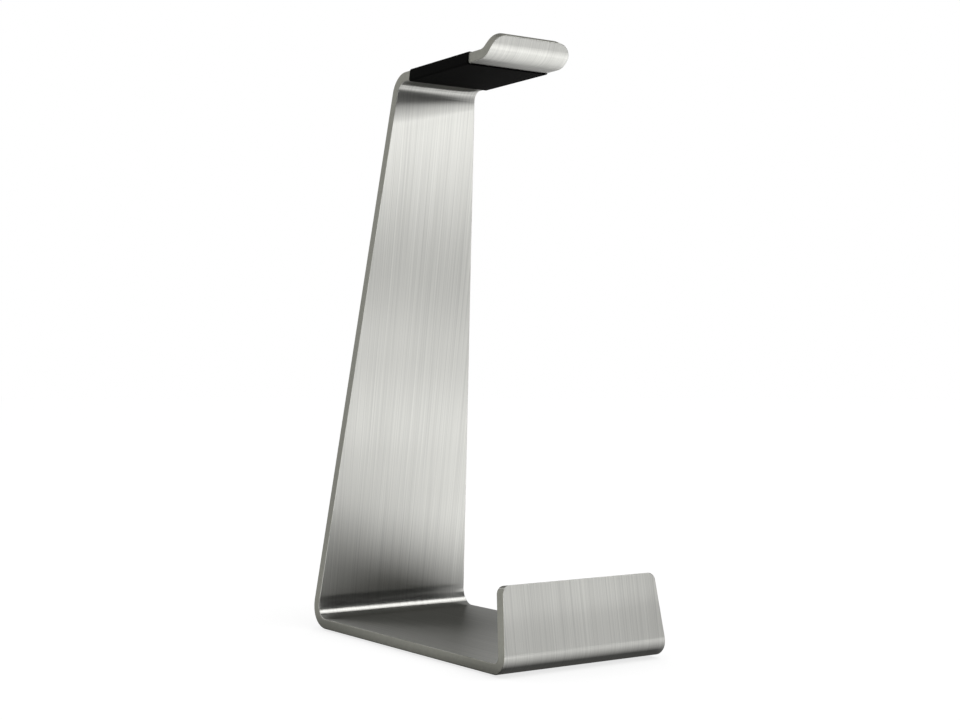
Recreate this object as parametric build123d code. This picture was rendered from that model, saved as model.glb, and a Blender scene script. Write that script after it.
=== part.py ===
from build123d import *
import os
from math import cos, radians, sin, tan

# A free-standing headphone hook: one thick metal strip bent four times, with a rubber sleeve
# round its arm and four rubber pads under its base.
# Millimetres. X runs across the strip, -Y points to the front lip and +Z is up. The origin is
# under the middle of the overall box, on the surface that the pads stand on.

# Metal strip
sheet_thickness = 4.8
edge_round = 0.45  # rounding of the strip's cut edges
base_width = 87.5
arm_width = 43.4  # across the top of the arm

# Base, lip and stem, seen from the side
base_length = 164.7  # front of the lip's bend to the back of the stem's lower bend
lip_height = 37.1  # underside of the base to the top of the lip's front
lip_lean = 9.2  # degrees from upright, towards the stem
stem_lean = 9.3  # degrees from upright, towards the lip
arm_height = 270.0  # underside of the base to the top of the arm

# Arm and its upturned tip
arm_reach = 76.3  # stem's upper corner to the tip's corner, along the top of the arm
tip_angle = 66.4  # degrees above level
tip_rise = 6.9  # top of the arm to the tip's rear edge

# Bends, measured on their inside
lip_bend_radius = 2.8
foot_bend_radius = 6.9
shoulder_bend_radius = 5.6
tip_bend_radius = 5.7

# Outline of the strip, seen from the front
waist_radius = 60.0  # blends the base's parallel sides into the stem's taper
lip_corner_radius = 3.7
tip_corner_radius = 7.3

# Rubber sleeve on the arm
sleeve_thickness = 0.6
sleeve_length = 49.9
sleeve_setback = 1.7  # end of the shoulder's bend to the sleeve's rear end
sleeve_side_fit = 0.05  # between the sleeve and each cut side of the arm

# Rubber pads under the base
foot_diameter = 12.0
foot_thickness = 1.0
foot_edge_gap = 8.0  # pad to the base's sides and to the ends of its flat underside

underside = foot_thickness
arm_top = underside + arm_height
full_angle = 90.0


def corner_reach(radius, lean):
    """Distance from a corner, where two faces would meet, to where its bend begins."""
    return radius * tan(radians(full_angle + lean) / 2)


# Corners of the strip's outer side, where its flat faces would meet without the bends
lip_outer_radius = lip_bend_radius + sheet_thickness
foot_outer_radius = foot_bend_radius + sheet_thickness
shoulder_outer_radius = shoulder_bend_radius + sheet_thickness
lip_corner_y = -base_length / 2 + lip_outer_radius - corner_reach(lip_outer_radius, lip_lean)
foot_corner_y = base_length / 2 - foot_outer_radius + corner_reach(foot_outer_radius, stem_lean)
shoulder_y = foot_corner_y - arm_height * tan(radians(stem_lean))
tip_corner_y = shoulder_y - arm_reach

lip_end = (lip_corner_y + lip_height * tan(radians(lip_lean)), underside + lip_height)
tip_end = (tip_corner_y - tip_rise / tan(radians(tip_angle)), arm_top + tip_rise)


def half_width_at(height):
    """Half of the strip's width at a height on the stem, the arm or the tip."""
    taper = (base_width - arm_width) / 2 / (arm_height - sheet_thickness)
    return arm_width / 2 + (arm_top - height) * taper


def bent_profile():
    """The strip's side view: its outer side as lines and bends, thickened inwards."""
    with BuildSketch(Plane.YZ) as profile:
        with BuildLine():
            outer_side = FilletPolyline(
                lip_end,
                (lip_corner_y, underside),
                (foot_corner_y, underside),
                (shoulder_y, arm_top),
                (tip_corner_y, arm_top),
                tip_end,
                radius=[
                    lip_outer_radius,
                    foot_outer_radius,
                    shoulder_outer_radius,
                    tip_bend_radius,
                ],
            )
            offset(outer_side, amount=sheet_thickness, side=Side.LEFT, closed=True)
        make_face()
    return profile.sketch


def front_outline():
    """The strip's front view: parallel at the base, then tapering to the arm and the tip."""
    base_top = underside + sheet_thickness
    above_tip = tip_end[1] + sheet_thickness
    with BuildSketch(Plane.XZ) as outline:
        with BuildLine():
            FilletPolyline(
                (base_width / 2, 0),
                (base_width / 2, base_top),
                (half_width_at(above_tip), above_tip),
                (-half_width_at(above_tip), above_tip),
                (-base_width / 2, base_top),
                (-base_width / 2, 0),
                radius=[waist_radius, 0, 0, waist_radius],
            )
            Line((-base_width / 2, 0), (base_width / 2, 0))
        make_face()
    return outline.sketch


def corner_edges(plate, end, rise_angle):
    """The two short edges through the strip's thickness at an end that points up at an angle."""
    along = Vector(0, -cos(radians(rise_angle)), sin(radians(rise_angle)))
    end_plane = Plane(origin=(0, *end), z_dir=along)
    end_face = plate.faces().filter_by(lambda face: face.is_coplanar(end_plane))[0]
    return end_face.edges().filter_by(Axis.X, reverse=True)


def cut_edges(plate):
    """The strip's edges between its bent faces and its cut rim, where two faces meet squarely."""
    squarely = 45.0
    faces_at = {}
    for face in plate.faces():
        for edge in face.edges():
            faces_at.setdefault(edge, []).append(face)
    found = ShapeList()
    for edge, faces in faces_at.items():
        if len(faces) != 2:
            continue
        middle = edge @ 0.5
        if faces[0].normal_at(middle).get_angle(faces[1].normal_at(middle)) > squarely:
            found.append(edge)
    return found


def make_stand_plate():
    """The whole strip: the bent profile across its full width, trimmed to the front outline."""
    strip = extrude(bent_profile(), amount=base_width, both=True)
    trim = extrude(front_outline(), amount=base_length, both=True)
    plate = strip & trim
    plate = fillet(corner_edges(plate, lip_end, full_angle + lip_lean), lip_corner_radius)
    plate = fillet(corner_edges(plate, tip_end, tip_angle), tip_corner_radius)
    return fillet(cut_edges(plate), edge_round)


def arm_section(side_gap, skin, corner):
    """The arm's cross-section grown by a gap at its sides and a skin all round, corners rounded."""
    top = arm_top + skin
    bottom = arm_top - sheet_thickness - skin
    right_top = half_width_at(top) + side_gap + skin
    right_bottom = half_width_at(bottom) + side_gap + skin
    with BuildSketch(Plane.XZ) as section:
        with BuildLine():
            Polyline(
                (right_bottom, bottom),
                (right_top, top),
                (-right_top, top),
                (-right_bottom, bottom),
                close=True,
            )
        make_face()
        fillet(section.vertices(), corner)
    return section.sketch


def make_arm_sleeve():
    """A rubber tube with the arm's section, on the flat stretch in front of the shoulder."""
    rear_y = shoulder_y - corner_reach(shoulder_outer_radius, stem_lean) - sleeve_setback
    outside = arm_section(sleeve_side_fit, sleeve_thickness, edge_round + sleeve_thickness)
    inside = arm_section(sleeve_side_fit, 0, edge_round)
    tube = extrude(outside - inside, amount=sleeve_length)
    return Pos(0, rear_y, 0) * tube


def make_feet():
    """Four round pads near the corners of the base's flat underside, by node name."""
    foot_radius = foot_diameter / 2
    flat_front = lip_corner_y + corner_reach(lip_outer_radius, lip_lean)
    flat_rear = foot_corner_y - corner_reach(foot_outer_radius, stem_lean)
    inset = foot_edge_gap + foot_radius
    feet = {}
    for end, y in (("front", flat_front + inset), ("rear", flat_rear - inset)):
        for hand, side in (("left", -1), ("right", 1)):
            place = Pos(side * (base_width / 2 - inset), y, 0)
            pad = Cylinder(foot_radius, foot_thickness, align=(Align.CENTER, Align.CENTER, Align.MIN))
            feet["foot_" + end + "_" + hand] = place * pad
    return feet


nodes = {"stand_plate": make_stand_plate(), "arm_sleeve": make_arm_sleeve(), **make_feet()}

os.makedirs("parts", exist_ok=True)
for name, shape in nodes.items():
    export_step(shape, "parts/" + name + ".step")
    print(name, round(shape.volume, 1), shape.bounding_box())
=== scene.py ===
from math import pi, radians

import bmesh
import bpy
import numpy as np
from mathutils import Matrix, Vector


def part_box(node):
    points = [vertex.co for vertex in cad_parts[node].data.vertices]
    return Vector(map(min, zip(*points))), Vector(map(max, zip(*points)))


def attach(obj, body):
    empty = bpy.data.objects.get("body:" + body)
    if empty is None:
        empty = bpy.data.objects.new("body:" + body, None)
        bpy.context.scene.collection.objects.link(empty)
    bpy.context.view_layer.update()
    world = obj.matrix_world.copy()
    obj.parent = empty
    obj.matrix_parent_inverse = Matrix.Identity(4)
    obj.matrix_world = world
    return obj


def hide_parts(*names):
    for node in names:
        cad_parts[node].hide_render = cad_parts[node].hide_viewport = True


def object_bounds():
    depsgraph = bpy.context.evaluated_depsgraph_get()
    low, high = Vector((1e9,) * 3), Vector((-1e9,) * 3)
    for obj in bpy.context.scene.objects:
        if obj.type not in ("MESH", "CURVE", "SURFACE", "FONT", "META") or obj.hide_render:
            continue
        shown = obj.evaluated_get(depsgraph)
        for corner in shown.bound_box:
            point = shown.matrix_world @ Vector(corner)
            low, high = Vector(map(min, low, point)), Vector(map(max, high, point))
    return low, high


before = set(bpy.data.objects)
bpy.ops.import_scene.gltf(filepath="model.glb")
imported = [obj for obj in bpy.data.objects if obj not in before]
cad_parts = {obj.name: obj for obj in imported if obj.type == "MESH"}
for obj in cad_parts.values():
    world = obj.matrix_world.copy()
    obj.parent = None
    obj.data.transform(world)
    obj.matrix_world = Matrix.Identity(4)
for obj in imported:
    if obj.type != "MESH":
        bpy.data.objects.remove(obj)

cad_low, cad_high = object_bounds()
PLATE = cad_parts["stand_plate"]
MM = 0.001

# Camera: in front of the stand and to its left, at just under half of its height
CAMERA_PLACE = (-0.41884, -0.61510, 0.12476)
CAMERA_TURN = -34.282  # degrees from looking straight at the front
CAMERA_RISE = 0.604  # degrees above level
LENS = 59.35
SENSOR = 36.0

# Brushed metal
METAL_COLOUR = (0.74, 0.74, 0.705)
FACE_ROUGHNESS = 0.34
FACE_ANISOTROPY = 1.0
COARSE_LINES = (1300, 5, 5)  # noise per metre, many times finer across the strip than along it
FINE_LINES = (2600, 14, 14)
COARSE_SHARE = 0.4  # of the hair lines, and the fine ones have the rest
LINE_SHADES = (0.84, 1.10)  # of the colour
LINE_TILT = 0.009  # slope of a line's surface, up and down the strip
CUT_COLOUR = (0.34, 0.34, 0.30)
CUT_ROUGHNESS = 0.45
CUT_GRAIN = (700, 700, 700)
CUT_SHADES = (0.95, 1.05)
NOISE_RANGE = (0.3, 0.7)  # what most of a noise texture lies between

# Which of the strip's facets are cut ones
RIM_FACING = 0.7  # how squarely they face sideways
END_FACING = 0.75  # how squarely they face outwards at an end
STRIP_ENDS = (  # each end's outward direction, and the heights that it lies between
    ((0.0, -0.400, 0.916), 274 * MM, 280 * MM),
    ((0.0, 0.160, 0.987), 36 * MM, 40 * MM),
)

# Rubber
RUBBER_ROUGHNESS = 0.85
RUBBER_GLOSS = 0.03
RUBBER_SHADES = (0.8, 1.2)
RUBBER_RELIEF = 0.05 * MM
SLEEVE_COLOUR = (0.005, 0.005, 0.0047)
SLEEVE_GRAIN = 0.6 * MM
FOOT_COLOUR = (0.02, 0.02, 0.02)
FOOT_GRAIN = 0.5 * MM

# Sleeve
SLEEVE_WALL = 0.6 * MM
SLEEVE_CORNER = 0.45 * MM
SLEEVE_TAPER = 0.5 * MM  # of each side, from the arm's underside to its top
SLEEVE_ARC_STEPS = 9
SLEEVE_RUN_STEPS = 26

# Pads
FOOT_SIDES = 64
FOOT_TOP_ROUND = 0.1 * MM
FOOT_TOP_STEPS = 5
FOOT_EDGE_ROUND = 0.35 * MM
FOOT_EDGE_STEPS = 7
FOOT_DISH = 0.2 * MM
DISH_RADII = (0.75, 0.70, 0.65, 0.35, 0.0)  # shares of the pad's radius
DISH_DEPTHS = (0.0, 0.3, 1.0, 1.0, 1.0)  # shares of the dish's depth

WELD = 0.001 * MM  # points nearer than this are one

# Studio, in metres. A tone is the strength at which a mirror image shows something, and 1 is white.
FIRST_IMAGE = 1.5  # a ray of a smaller depth makes a first mirror image
# Painted shade: whatever a mirror image shows within another mirror image is held at this dim tone
# instead of its own.
DEEP_PAINTED_SHADE = 0.12  # of everything round the stand in a mirror image of a mirror image
SKY_STRENGTH = 0.75  # as light on matte surfaces
SKY_TONE = 1.0

# Floor
FLOOR_RADIUS = 8.0
FLOOR_SIDES = 96
FLOOR_WHITE = 0.35
FLOOR_GLOW = 0.74  # what the camera sees added to it, up to white
FLOOR_REACH = 2.5  # distance from the base that the ramps of tones span
# Painted reflection of the floor, its glow in first mirror images: a painted contact shadow at the base
# (0.08) that brightens outwards, then a grey band near 0.75 m and bright again far off.
FLOOR_TONES = (  # by distance from the base
    (0.000, 0.08),
    (0.006, 0.50),
    (0.013, 0.80),
    (0.030, 1.40),
    (0.060, 1.65),
    (0.110, 1.56),
    (0.200, 1.45),
    (0.320, 1.18),
    (0.430, 0.97),
    (0.550, 0.68),
    (0.750, 0.43),
    (1.200, 0.85),
    (1.900, 1.75),
)
LEFT_FLOOR_TONES = (  # the same, left of the base
    (0.000, 0.05),
    (0.006, 0.25),
    (0.015, 0.70),
    (0.040, 1.60),
    (0.110, 1.60),
    (0.250, 1.40),
    (0.430, 1.05),
    (0.750, 0.62),
    (1.200, 0.95),
)

# Painted shade on those tones by the place along Y: it darkens the floor's mirror image towards the rear,
# and left of the base it darkens and lightens it in bands. The near floor's shades change to the far
# floor's between two distances from the base.
NEAR_FLOOR = 0.05
FAR_FLOOR = 0.10
NEAR_REAR_SHADE = 0.45
NEAR_REAR_FADE = (-0.06, 0.08)  # along Y, from no shade to the whole of it
FAR_REAR_SHADE = 0.55
FAR_REAR_FADE = (0.0, 0.3)
LEFT_SHADE_FROM = -0.15  # along Y, where the shades left of the base start
LEFT_SHADE_REACH = 0.30  # distance behind there that their ramps span
NEAR_LEFT_SHADES = (  # by distance behind LEFT_SHADE_FROM
    (0.000, 1.00),
    (0.050, 1.00),
    (0.070, 0.42),
    (0.100, 0.42),
    (0.125, 0.74),
    (0.160, 0.82),
    (0.205, 0.68),
    (0.235, 0.36),
    (0.260, 0.20),
)
FAR_LEFT_SHADES = (
    (0.000, 1.00),
    (0.060, 1.00),
    (0.105, 0.42),
    (0.300, 0.46),
)
RAMP_TOP = 2.0  # the tone that a ramp holds as 1

# Drapes: a drum round the studio with a lid over it
DRAPE_RADIUS = 7.5
DRAPE_TOP = 13.0
DRAPE_HOLE = 0.01
DRAPES = (  # name, angles that it runs between from the front towards the right, and tone
    ("front_drape", (-90, 90), 0.08),
    ("rear_drape", (90, 180), 0.32),
    ("left_drape", (180, 270), 0.70),
)
LEFT_CARD_RADIUS = 2.5
LEFT_CARD_HEIGHT = 1.5
LEFT_CARD_TURN = (-70, -35)
LEFT_CARD_TONE = 1.7
ROUND_STEPS = 48

# Small cards close to the stand that only mirror images see: painted shade on the metal by its bends, and
# a painted highlight in the shoulder's bend. Rows of a left and a right corner, each (x, y, z, tone)
SMALL_CARDS = {
    # Painted shade: a dark card that darkens the foot's bend above its highlight and the stem's lowest
    # part
    "foot_painted_shade": (  # in front of the foot's bend
        ((-0.045, 0.0725, 0.0137, 0.02), (0.025, 0.0725, 0.0137, 0.02)),
        ((-0.045, 0.0725, 0.0110, 0.02), (0.025, 0.0725, 0.0111, 0.04)),
    ),
    "foot_painted_shade_end": (  # the rest of its length, to the right
        ((0.025, 0.0725, 0.0137, 0.02), (0.044, 0.0725, 0.0137, 0.25)),
        ((0.025, 0.0725, 0.0111, 0.04), (0.044, 0.0725, 0.0112, 0.30)),
    ),
    # Painted shade and highlight: its dark rows paint the dark band on the stem just under the shoulder,
    # and its pale lowest row paints the light line in the shoulder's bend
    "arm_painted_shade_and_highlight": (  # hangs under the arm, before the shoulder's bend
        ((-0.040, 0.0240, 0.2656, 0.02), (0.040, 0.0362, 0.2656, 0.08)),
        ((-0.040, 0.0240, 0.2516, 0.10), (0.040, 0.0362, 0.2655, 0.10)),
        ((-0.040, 0.0240, 0.2410, 1.05), (0.040, 0.0362, 0.2611, 1.15)),
    ),
    # Painted shade: darkens the top of the shoulder's bend, next to the arm
    "arm_painted_shade": (  # from just below it towards the stem
        ((-0.040, 0.0240, 0.2390, 0.65), (0.040, 0.0362, 0.2590, 0.65)),
        ((-0.040, 0.0318, 0.2415, 0.52), (0.040, 0.0368, 0.2593, 0.60)),
    ),
}

# Lip card, seen only in mirror images: down in front of the lip and back along the floor to the lip's
# bend.
# It paints the lip's reflection, grey in front and a painted contact shadow that darkens to 0.03 at the
# bend
LIP_CARD_SIDES = (-0.06, 0.10)
LIP_CARD_ROWS = (  # y at its left and at its right side, height and tone
    (-0.1700, -0.1190, 0.0800, 0.80),
    (-0.1700, -0.1190, 0.0360, 0.80),
    (-0.1700, -0.1190, 0.0310, 0.62),
    (-0.1700, -0.1190, 0.0140, 0.60),
    (-0.1700, -0.1190, 0.0003, 0.80),
    (-0.1050, -0.1050, 0.0003, 0.78),
    (-0.0920, -0.0920, 0.0003, 0.60),
    (-0.0870, -0.0870, 0.0003, 0.42),
    (-0.0835, -0.0835, 0.0003, 0.22),
    (-0.0820, -0.0820, 0.0003, 0.03),
)

# Main lamp, and its painted reflection: a card in its place that glows in mirror images, though it is no
# lamp
KEY_PLACE = (0.40, -0.52, 1.08)
KEY_TARGET = (0, 0.07, 0)
KEY_SIZE = (1.4, 0.68)
KEY_BRIGHTNESS = 0.95
KEY_TONE = 2.4


def add(tree, kind, inputs=(), **settings):
    """Adds a shader node. inputs maps a socket's name or number to a value, or to the socket that it is
    fed from."""
    node = tree.nodes.new(kind)
    for name, value in settings.items():
        setattr(node, name, value)
    for socket, value in dict(inputs).items():
        if isinstance(value, bpy.types.NodeSocket):
            tree.links.new(value, node.inputs[socket])
        else:
            node.inputs[socket].default_value = value
    return node


def rgba(colour):
    return (*colour, 1.0)


def new_material(name):
    """An empty node material, its tree and its output."""
    material = bpy.data.materials.new(name)
    material.use_nodes = True
    tree = material.node_tree
    tree.nodes.clear()
    return material, tree, add(tree, "ShaderNodeOutputMaterial")


def calc(tree, operation, *values):
    return add(tree, "ShaderNodeMath", enumerate(values), operation=operation).outputs["Value"]


def vector_calc(tree, operation, *values):
    node = add(tree, "ShaderNodeVectorMath", enumerate(values), operation=operation)
    return node.outputs["Vector"]


def scaled(tree, vector, factor):
    """A vector or a colour times a number."""
    node = add(tree, "ShaderNodeVectorMath", {0: vector, "Scale": factor}, operation="SCALE")
    return node.outputs["Vector"]


def mapped(tree, value, low, high, to_low, to_high):
    """value carried linearly from low..high to to_low..to_high, held at both ends."""
    ends = {"From Min": low, "From Max": high, "To Min": to_low, "To Max": to_high}
    return add(tree, "ShaderNodeMapRange", {"Value": value, **ends}).outputs["Result"]


def toned(tree, value, reach, tones):
    """The tone at value, on straight lines between pairs of a value and its tone, up to reach."""
    ramp = add(tree, "ShaderNodeValToRGB", {"Fac": calc(tree, "DIVIDE", value, reach)})
    points = ramp.color_ramp.elements
    while len(points) < len(tones):
        points.new(0.5)
    for point, (place, tone) in zip(points, tones):
        point.position = place / reach
        point.color = rgba((tone / RAMP_TOP,) * 3)
    return calc(tree, "MULTIPLY", ramp.outputs["Color"], RAMP_TOP)


def grain(tree, scale, detail=2.0, roughness=0.5):
    """Noise between 0 and 1 over the piece, with its own scale along X, Y and Z."""
    place = add(tree, "ShaderNodeTexCoord").outputs["Object"]
    stretched = add(tree, "ShaderNodeMapping", {"Vector": place, "Scale": scale}).outputs["Vector"]
    look = {"Scale": 1.0, "Detail": detail, "Roughness": roughness}
    return add(tree, "ShaderNodeTexNoise", {"Vector": stretched, **look}).outputs["Fac"]


def varied(tree, noise, low, high):
    """Noise carried to low..high."""
    return mapped(tree, noise, *NOISE_RANGE, low, high)


def brushed_face():
    """Metal brushed along the strip: hair lines run with its length and its gloss spreads across."""
    material, tree, output = new_material("brushed_face")
    coarse = grain(tree, COARSE_LINES, 3.0, 0.6)
    fine = grain(tree, FINE_LINES)
    coarse_part = calc(tree, "MULTIPLY", coarse, COARSE_SHARE)
    fine_part = calc(tree, "MULTIPLY", fine, 1 - COARSE_SHARE)
    lines = calc(tree, "ADD", coarse_part, fine_part)
    normal = add(tree, "ShaderNodeNewGeometry").outputs["Normal"]
    across = add(tree, "ShaderNodeCombineXYZ", {"X": 1.0}).outputs["Vector"]
    along = vector_calc(tree, "CROSS_PRODUCT", normal, across)
    tilt = varied(tree, lines, -LINE_TILT, LINE_TILT)
    leaned = vector_calc(tree, "ADD", normal, scaled(tree, along, tilt))
    shader = add(
        tree,
        "ShaderNodeBsdfPrincipled",
        {
            "Base Color": scaled(tree, METAL_COLOUR, varied(tree, lines, *LINE_SHADES)),
            "Metallic": 1.0,
            "Roughness": FACE_ROUGHNESS,
            "Anisotropic": FACE_ANISOTROPY,
            "Tangent": across,
            "Normal": vector_calc(tree, "NORMALIZE", leaned),
        },
    )
    tree.links.new(shader.outputs["BSDF"], output.inputs["Surface"])
    return material


def cut_edge():
    """The strip's cut rim: duller and darker than its faces, and slightly uneven."""
    material, tree, output = new_material("cut_edge")
    shade = varied(tree, grain(tree, CUT_GRAIN), *CUT_SHADES)
    shader = add(
        tree,
        "ShaderNodeBsdfPrincipled",
        {
            "Base Color": scaled(tree, CUT_COLOUR, shade),
            "Metallic": 1.0,
            "Roughness": CUT_ROUGHNESS,
        },
    )
    tree.links.new(shader.outputs["BSDF"], output.inputs["Surface"])
    return material


def rubber(name, colour, grain_size):
    """Matte black rubber with a fine even grain."""
    material, tree, output = new_material(name)
    specks = grain(tree, (1 / grain_size,) * 3, roughness=0.6)
    relief = add(
        tree, "ShaderNodeBump", {"Height": specks, "Distance": RUBBER_RELIEF, "Strength": 1.0}
    )
    shader = add(
        tree,
        "ShaderNodeBsdfPrincipled",
        {
            "Base Color": scaled(tree, colour, varied(tree, specks, *RUBBER_SHADES)),
            "Roughness": RUBBER_ROUGHNESS,
            "Specular IOR Level": RUBBER_GLOSS,
            "Normal": relief.outputs["Normal"],
        },
    )
    tree.links.new(shader.outputs["BSDF"], output.inputs["Surface"])
    return material


def finish_plate():
    """Gives the strip's bent faces the brushed finish, and its cut sides and ends the cut finish."""
    mesh = PLATE.data
    mesh.materials.clear()
    mesh.materials.append(brushed_face())
    mesh.materials.append(cut_edge())
    normals = np.empty(len(mesh.polygons) * 3)
    centres = np.empty(len(mesh.polygons) * 3)
    mesh.polygons.foreach_get("normal", normals)
    mesh.polygons.foreach_get("center", centres)
    normals = normals.reshape(-1, 3)
    heights = centres.reshape(-1, 3)[:, 2]
    is_cut = np.abs(normals[:, 0]) > RIM_FACING
    for outward, low, high in STRIP_ENDS:
        is_cut |= (normals @ np.array(outward) > END_FACING) & (heights > low) & (heights < high)
    mesh.polygons.foreach_set("material_index", is_cut.astype(np.int32))
    mesh.update()


def closed_piece(name, grid, is_tube, material, node):
    """A smooth closed piece through a grid of points (rows, columns, 3) that stands for a CAD node. The
    columns close on themselves. The rows do too in a tube, and otherwise end in a point."""
    rows, columns = grid.shape[:2]
    last = rows if is_tube else rows - 1
    row, column = np.meshgrid(np.arange(last), np.arange(columns), indexing="ij")
    next_row, next_column = (row + 1) % rows, (column + 1) % columns
    quads = np.stack(
        (
            row * columns + column,
            row * columns + next_column,
            next_row * columns + next_column,
            next_row * columns + column,
        ),
        axis=-1,
    )
    mesh = bpy.data.meshes.new(name)
    mesh.from_pydata(grid.reshape(-1, 3).tolist(), [], quads.reshape(-1, 4).tolist())
    shell = bmesh.new()
    shell.from_mesh(mesh)
    bmesh.ops.remove_doubles(shell, verts=shell.verts, dist=WELD)
    bmesh.ops.recalc_face_normals(shell, faces=shell.faces)
    shell.to_mesh(mesh)
    shell.free()
    mesh.polygons.foreach_set("use_smooth", np.ones(len(mesh.polygons), bool))
    mesh.materials.append(material)
    piece = bpy.data.objects.new(name, mesh)
    bpy.context.scene.collection.objects.link(piece)
    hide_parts(node)
    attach(piece, "root")


def arc(start, end, steps):
    """Cosines and sines of angles in degrees from start to end."""
    angles = np.radians(np.linspace(start, end, steps))
    return np.cos(angles), np.sin(angles)


def make_sleeve():
    """The rubber sleeve: the arm's rounded section carried round a wall with half-round rims. A point is
    the section's corner centre plus its corner radius and the wall's depth there, along the corner's
    outward angle, and its place along the arm is the wall's."""
    low, high = (np.array(corner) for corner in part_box("arm_sleeve"))
    half_wall = SLEEVE_WALL / 2
    # The wall's own outline: its place along the arm, and its depth out from the arm
    front_cos, front_sin = arc(-90, 90, SLEEVE_ARC_STEPS)
    rear_cos, rear_sin = arc(90, -90, SLEEVE_ARC_STEPS)
    front, rear = low[1] + half_wall, high[1] - half_wall
    run = np.linspace(front, rear, SLEEVE_RUN_STEPS)[1:-1]
    along = np.concatenate(
        (low[1] + half_wall * (1 - front_cos), run, high[1] - half_wall * (1 - rear_cos), run[::-1])
    )
    depth = np.concatenate(
        (half_wall * (1 + front_sin), SLEEVE_WALL + 0 * run, half_wall * (1 + rear_sin), 0 * run)
    )
    # The section's outline: the centres of its corners, and their outward angles
    inset = SLEEVE_WALL + SLEEVE_CORNER
    wide, narrow = high[0] - inset, high[0] - inset - SLEEVE_TAPER
    under, over = low[2] + inset, high[2] - inset
    centres = np.array([(wide, under), (narrow, over), (-narrow, over), (-wide, under)])
    centres = np.repeat(centres, SLEEVE_ARC_STEPS, axis=0)
    starts = np.array([-90, 0, 90, 180])
    angles = np.radians(starts[:, None] + np.linspace(0, 90, SLEEVE_ARC_STEPS))
    outward = np.stack((np.cos(angles), np.sin(angles)), axis=-1).reshape(-1, 2)
    section = centres + (SLEEVE_CORNER + depth[:, None, None]) * outward
    grid = np.empty((len(along), len(centres), 3))
    grid[..., 0] = section[..., 0]
    grid[..., 1] = along[:, None]
    grid[..., 2] = section[..., 1]
    finish = rubber("sleeve_rubber_finish", SLEEVE_COLOUR, SLEEVE_GRAIN)
    closed_piece("sleeve", grid, True, finish, "arm_sleeve")


def make_feet():
    """Four rubber pads, each a profile turned about its own upright axis: a flat top, a rounded lower
    edge and a shallow dish underneath."""
    finish = rubber("foot_rubber_finish", FOOT_COLOUR, FOOT_GRAIN)
    turn_cos, turn_sin = arc(0, 360 - 360 / FOOT_SIDES, FOOT_SIDES)
    top_cos, top_sin = arc(90, 0, FOOT_TOP_STEPS)
    edge_cos, edge_sin = arc(0, -90, FOOT_EDGE_STEPS)
    for name in [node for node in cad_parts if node.startswith("foot")]:
        low, high = (np.array(corner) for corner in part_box(name))
        middle, radius, height = (low + high) / 2, (high[0] - low[0]) / 2, high[2] - low[2]
        radii = np.concatenate(
            (
                (0, radius / 2),
                radius - FOOT_TOP_ROUND * (1 - top_cos),
                radius - FOOT_EDGE_ROUND * (1 - edge_cos),
                np.array(DISH_RADII) * radius,
            )
        )
        heights = np.concatenate(
            (
                (height, height),
                height - FOOT_TOP_ROUND * (1 - top_sin),
                FOOT_EDGE_ROUND * (1 + edge_sin),
                np.array(DISH_DEPTHS) * FOOT_DISH,
            )
        )
        grid = np.empty((len(radii), FOOT_SIDES, 3))
        grid[..., 0] = middle[0] + radii[:, None] * turn_cos
        grid[..., 1] = middle[1] + radii[:, None] * turn_sin
        grid[..., 2] = low[2] + heights[:, None]
        closed_piece("rubber_" + name, grid, False, finish, name)


def mirrored_tone(tree, tone):
    """The tone in a first mirror image, a painted shade at the deep tone in the images within it, and 0
    for other rays.
    """
    path = add(tree, "ShaderNodeLightPath").outputs
    mirrored = calc(tree, "MAXIMUM", path["Is Glossy Ray"], path["Is Transmission Ray"])
    is_first = calc(tree, "LESS_THAN", path["Ray Depth"], FIRST_IMAGE)
    difference = calc(tree, "SUBTRACT", tone, DEEP_PAINTED_SHADE)
    seen = calc(tree, "MULTIPLY_ADD", is_first, difference, DEEP_PAINTED_SHADE)
    return calc(tree, "MULTIPLY", mirrored, seen)


def painted_floor_reflection(tree):
    """The floor's painted reflection, with a painted contact shadow at the base: its tone in a mirror
    image is the tone at its distance from the base times the painted shade at its place along Y. Both
    have values of their own left of the base."""
    place = add(tree, "ShaderNodeTexCoord").outputs["Object"]
    axes = add(tree, "ShaderNodeSeparateXYZ", {0: place}).outputs
    outside = vector_calc(tree, "SUBTRACT", vector_calc(tree, "ABSOLUTE", place), cad_high)
    outside = vector_calc(tree, "MAXIMUM", outside, (0, 0, 0))
    distance = add(tree, "ShaderNodeVectorMath", {0: outside}, operation="LENGTH").outputs["Value"]

    near_shade = mapped(tree, axes["Y"], *NEAR_REAR_FADE, 1.0, NEAR_REAR_SHADE)
    far_shade = mapped(tree, axes["Y"], *FAR_REAR_FADE, 1.0, FAR_REAR_SHADE)
    shade = mapped(tree, distance, NEAR_FLOOR, FAR_FLOOR, near_shade, far_shade)
    tone = calc(tree, "MULTIPLY", toned(tree, distance, FLOOR_REACH, FLOOR_TONES), shade)

    behind = calc(tree, "SUBTRACT", axes["Y"], LEFT_SHADE_FROM)
    near_left_shade = toned(tree, behind, LEFT_SHADE_REACH, NEAR_LEFT_SHADES)
    far_left_shade = toned(tree, behind, LEFT_SHADE_REACH, FAR_LEFT_SHADES)
    left_shade = mapped(tree, distance, NEAR_FLOOR, FAR_FLOOR, near_left_shade, far_left_shade)
    left_tone = toned(tree, distance, FLOOR_REACH, LEFT_FLOOR_TONES)
    left_tone = calc(tree, "MULTIPLY", left_tone, left_shade)

    is_left = calc(tree, "LESS_THAN", axes["X"], cad_low[0])
    return mapped(tree, is_left, 0.0, 1.0, tone, left_tone)


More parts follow.
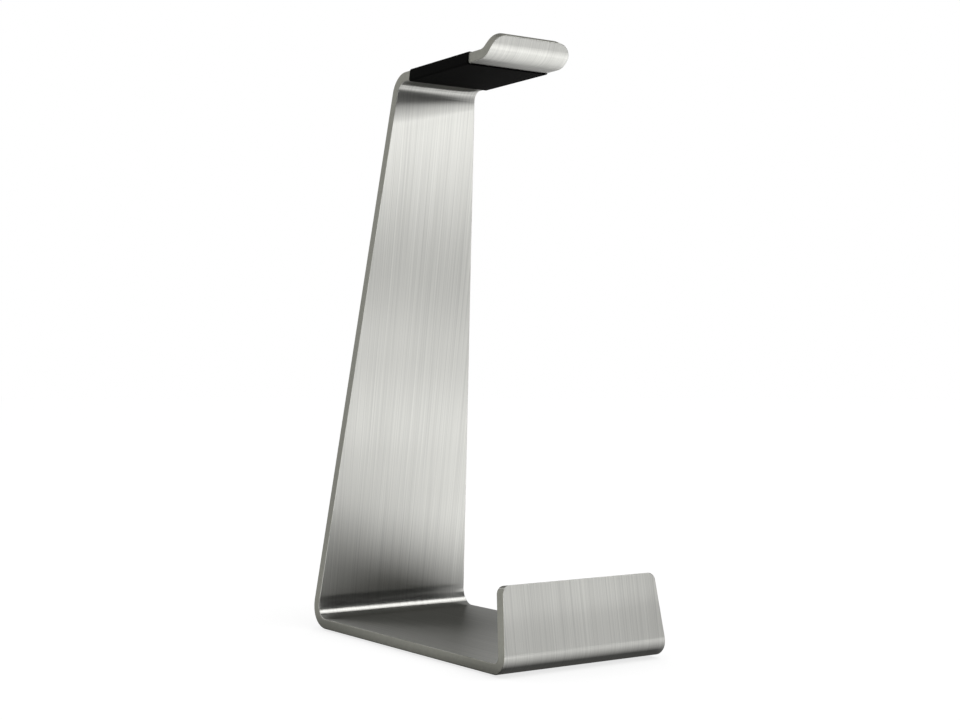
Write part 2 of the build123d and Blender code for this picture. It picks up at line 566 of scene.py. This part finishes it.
def make_floor():
    """A round pale floor that is white to look at and keeps the stand's shadow."""
    bpy.ops.mesh.primitive_circle_add(vertices=FLOOR_SIDES, radius=FLOOR_RADIUS, fill_type="NGON")
    floor = bpy.context.object
    floor.name = "floor"
    material, tree, output = new_material("floor_white")
    path = add(tree, "ShaderNodeLightPath").outputs
    is_not_gloss = calc(tree, "SUBTRACT", 1.0, path["Is Glossy Ray"])
    white = calc(tree, "MULTIPLY", FLOOR_WHITE, is_not_gloss)
    diffuse = add(tree, "ShaderNodeBsdfDiffuse", {"Color": white})
    # In mirror images the floor shows only its painted reflection, with its painted contact shadow, and
    # not its lit white.
    mirrored = mirrored_tone(tree, painted_floor_reflection(tree))
    strength = calc(tree, "MULTIPLY_ADD", path["Is Camera Ray"], FLOOR_GLOW, mirrored)
    glow = add(tree, "ShaderNodeEmission", {"Strength": strength})
    both = add(tree, "ShaderNodeAddShader", {0: diffuse.outputs[0], 1: glow.outputs[0]})
    tree.links.new(both.outputs[0], output.inputs["Surface"])
    material.cycles.emission_sampling = "NONE"
    floor.data.materials.append(material)


def make_sky():
    """White all round to look at, and a soft even light on matte surfaces."""
    world = bpy.data.worlds.new("studio")
    bpy.context.scene.world = world
    world.use_nodes = True
    tree = world.node_tree
    tree.nodes.clear()
    path = add(tree, "ShaderNodeLightPath").outputs
    light = calc(tree, "MULTIPLY", path["Is Diffuse Ray"], SKY_STRENGTH)
    seen = calc(tree, "MAXIMUM", path["Is Camera Ray"], mirrored_tone(tree, SKY_TONE))
    strength = calc(tree, "MAXIMUM", light, seen)
    white = add(tree, "ShaderNodeBackground", {"Strength": strength, "Color": rgba((1, 1, 1))})
    add(tree, "ShaderNodeOutputWorld", {"Surface": white.outputs[0]})
    world.cycles.sampling_method = "NONE"


def hang_card(name, corners, faces, tones, is_one_sided=False):
    """A card that only gloss can see, with a tone at each of its corners and an even change between. A
    one-sided card can't be seen from behind."""
    mesh = bpy.data.meshes.new(name)
    mesh.from_pydata(np.asarray(corners).tolist(), [], np.asarray(faces).tolist())
    corner_tones = mesh.attributes.new("tone", "FLOAT", "POINT")
    corner_tones.data.foreach_set("value", np.array(tones, np.float32))
    material, tree, output = new_material(name)
    tone = add(tree, "ShaderNodeAttribute", attribute_name="tone").outputs["Fac"]
    surface = add(tree, "ShaderNodeEmission", {"Strength": mirrored_tone(tree, tone)})
    if is_one_sided:
        is_behind = add(tree, "ShaderNodeNewGeometry").outputs["Backfacing"]
        clear = add(tree, "ShaderNodeBsdfTransparent")
        sides = {0: is_behind, 1: surface.outputs[0], 2: clear.outputs[0]}
        surface = add(tree, "ShaderNodeMixShader", sides)
    tree.links.new(surface.outputs[0], output.inputs["Surface"])
    material.cycles.emission_sampling = "NONE"
    mesh.materials.append(material)
    card = bpy.data.objects.new(name, mesh)
    card.visible_camera = False
    card.visible_diffuse = False
    card.visible_shadow = False
    bpy.context.scene.collection.objects.link(card)


def hang_round(name, rings, turn, tone):
    """A card of one tone carried round the stand: rings is its (radius, height) profile, and turn a pair
    of angles from the front towards the right. A point is its ring's radius times the angle's sine to
    the right and its cosine to the front, at the ring's height."""
    angles = np.radians(np.linspace(*turn, ROUND_STEPS))
    radii, heights = np.array(rings).T
    grid = np.empty((len(rings), ROUND_STEPS, 3))
    grid[..., 0] = radii[:, None] * np.sin(angles)
    grid[..., 1] = -radii[:, None] * np.cos(angles)
    grid[..., 2] = heights[:, None]
    ring, step = np.meshgrid(np.arange(len(rings) - 1), np.arange(ROUND_STEPS - 1), indexing="ij")
    first = ring * ROUND_STEPS + step
    quads = np.stack((first, first + 1, first + ROUND_STEPS + 1, first + ROUND_STEPS), -1)
    tones = [tone] * (len(rings) * ROUND_STEPS)
    hang_card(name, grid.reshape(-1, 3), quads.reshape(-1, 4), tones)


def hang_strip(name, rows):
    """A one-sided card down a line of rows, each a left and a right corner with its tone, that faces the
    rear where its rows go down."""
    corners = np.array(rows).reshape(-1, 4)
    faces = [(2 * i, 2 * i + 1, 2 * i + 3, 2 * i + 2) for i in range(len(rows) - 1)]
    hang_card(name, corners[:, :3], faces, corners[:, 3], True)


def hang_surroundings():
    """The drapes all round, the large card at the left and the small cards close to the stand."""
    drum = [(DRAPE_RADIUS, 0.0), (DRAPE_RADIUS, DRAPE_TOP), (DRAPE_HOLE, DRAPE_TOP)]
    for name, turn, tone in DRAPES:
        hang_round(name, drum, turn, tone)
    upright = [(LEFT_CARD_RADIUS, 0.0), (LEFT_CARD_RADIUS, LEFT_CARD_HEIGHT)]
    hang_round("left_card", upright, LEFT_CARD_TURN, LEFT_CARD_TONE)
    for name, rows in SMALL_CARDS.items():
        hang_strip(name, rows)
    left, right = LIP_CARD_SIDES
    rows = [
        ((left, left_y, height, tone), (right, right_y, height, tone))
        for left_y, right_y, height, tone in LIP_CARD_ROWS
    ]
    hang_strip("lip_painted_reflection", rows)


def make_key():
    """The main lamp, which gloss can't see, and its painted reflection: a card of its size in its place
    that only gloss can see, and that glows though it is no lamp.
    """
    facing = (Vector(KEY_TARGET) - Vector(KEY_PLACE)).to_track_quat("-Z", "Y")
    width, depth = KEY_SIZE
    ends = [(-0.5, -0.5), (0.5, -0.5), (0.5, 0.5), (-0.5, 0.5)]
    corners = [Vector(KEY_PLACE) + facing @ Vector((x * width, y * depth, 0)) for x, y in ends]
    hang_card("key_painted_reflection", corners, [(0, 1, 2, 3)], [KEY_TONE] * len(corners))
    lamp = bpy.data.lights.new("key_softbox", "AREA")
    lamp.shape = "RECTANGLE"
    lamp.size, lamp.size_y = KEY_SIZE
    lamp.energy = KEY_BRIGHTNESS * pi * width * depth
    holder = bpy.data.objects.new("key_softbox", lamp)
    holder.location = KEY_PLACE
    holder.rotation_euler = facing.to_euler()
    holder.visible_camera = False
    holder.visible_glossy = False
    bpy.context.scene.collection.objects.link(holder)


def make_camera():
    camera = bpy.data.cameras.new("camera")
    camera.lens = LENS
    camera.sensor_width = SENSOR
    holder = bpy.data.objects.new("camera", camera)
    holder.location = CAMERA_PLACE
    holder.rotation_euler = (radians(90 + CAMERA_RISE), 0, radians(CAMERA_TURN))
    bpy.context.scene.collection.objects.link(holder)
    bpy.context.scene.camera = holder


make_camera()
finish_plate()
make_sleeve()
make_feet()
make_floor()
make_sky()
hang_surroundings()
make_key()

bpy.context.scene.view_settings.view_transform = "Standard"
